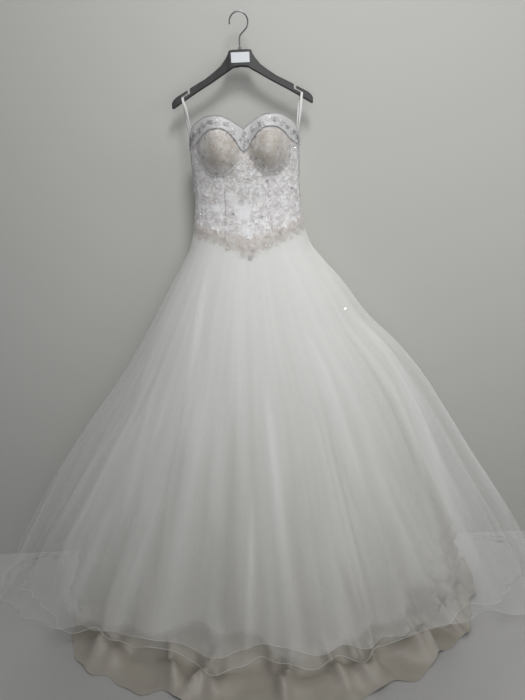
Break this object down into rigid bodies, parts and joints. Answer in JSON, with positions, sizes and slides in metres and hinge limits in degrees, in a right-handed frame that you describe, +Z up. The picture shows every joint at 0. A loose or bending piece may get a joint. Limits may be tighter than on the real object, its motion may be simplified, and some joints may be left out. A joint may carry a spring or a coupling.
{
  "type": "wedding dress on a clothes hanger",
  "caption": "Strapless wedding ball gown with a beaded lace bodice, pointed waist and layered tulle skirt, hung by ribbon loops on a black clothes hanger.",
  "frame": {"origin": "the inner top of the hanger's hook, where it bears on a rail or a wall hook", "axes": "+Z up, the gown's front faces -Y, +X to the right of someone who looks at the front"},
  "size_m": [1.9474, 0.626, 1.7238],
  "materials": {
    "beaded_lace": "white satin under silver and white embroidered lace",
    "embroidered_band": "white satin with sparse silver embroidery",
    "silver_beads": "small silver beads",
    "tulle": "sheer white net",
    "satin": "ivory satin with a soft sheen",
    "satin_ribbon": "white satin",
    "hanger_plastic": "glossy black",
    "hook_steel": "dark polished steel",
    "blank_plate": "satin silver, blank",
    "zip_metal": "white enamel"
  },
  "bodies": {
    "gown": {"front_centre": "beaded_lace", "front_side_left": "beaded_lace", "front_side_right": "beaded_lace", "side_left": "beaded_lace", "side_right": "beaded_lace", "back_left": "beaded_lace", "back_right": "beaded_lace", "cup_left": "beaded_lace", "cup_right": "beaded_lace", "waist_lace": "beaded_lace", "neck_band_left": "embroidered_band", "neck_band_right": "embroidered_band", "neckline_piping": "silver_beads", "cup_piping": "silver_beads", "outer_tulle": "tulle", "waved_tulle": "tulle", "satin_skirt": "satin", "ribbon_loop_left": "satin_ribbon", "ribbon_loop_right": "satin_ribbon", "hanger_bar": "hanger_plastic", "hanger_hook": "hook_steel", "hanger_collar": "hook_steel", "hanger_plate": "blank_plate", "zip_slider": "zip_metal"},
    "pull_tab": {"zip_pull_tab": "zip_metal"}
  },
  "joints": [
    {"name": "pull_tab_swing", "type": "hinge", "parent": "gown", "child": "pull_tab", "pos_m": [0, 0.0346, -0.3385], "axis": [1, 0, 0], "range_deg": [-8, 150]}
  ]
}
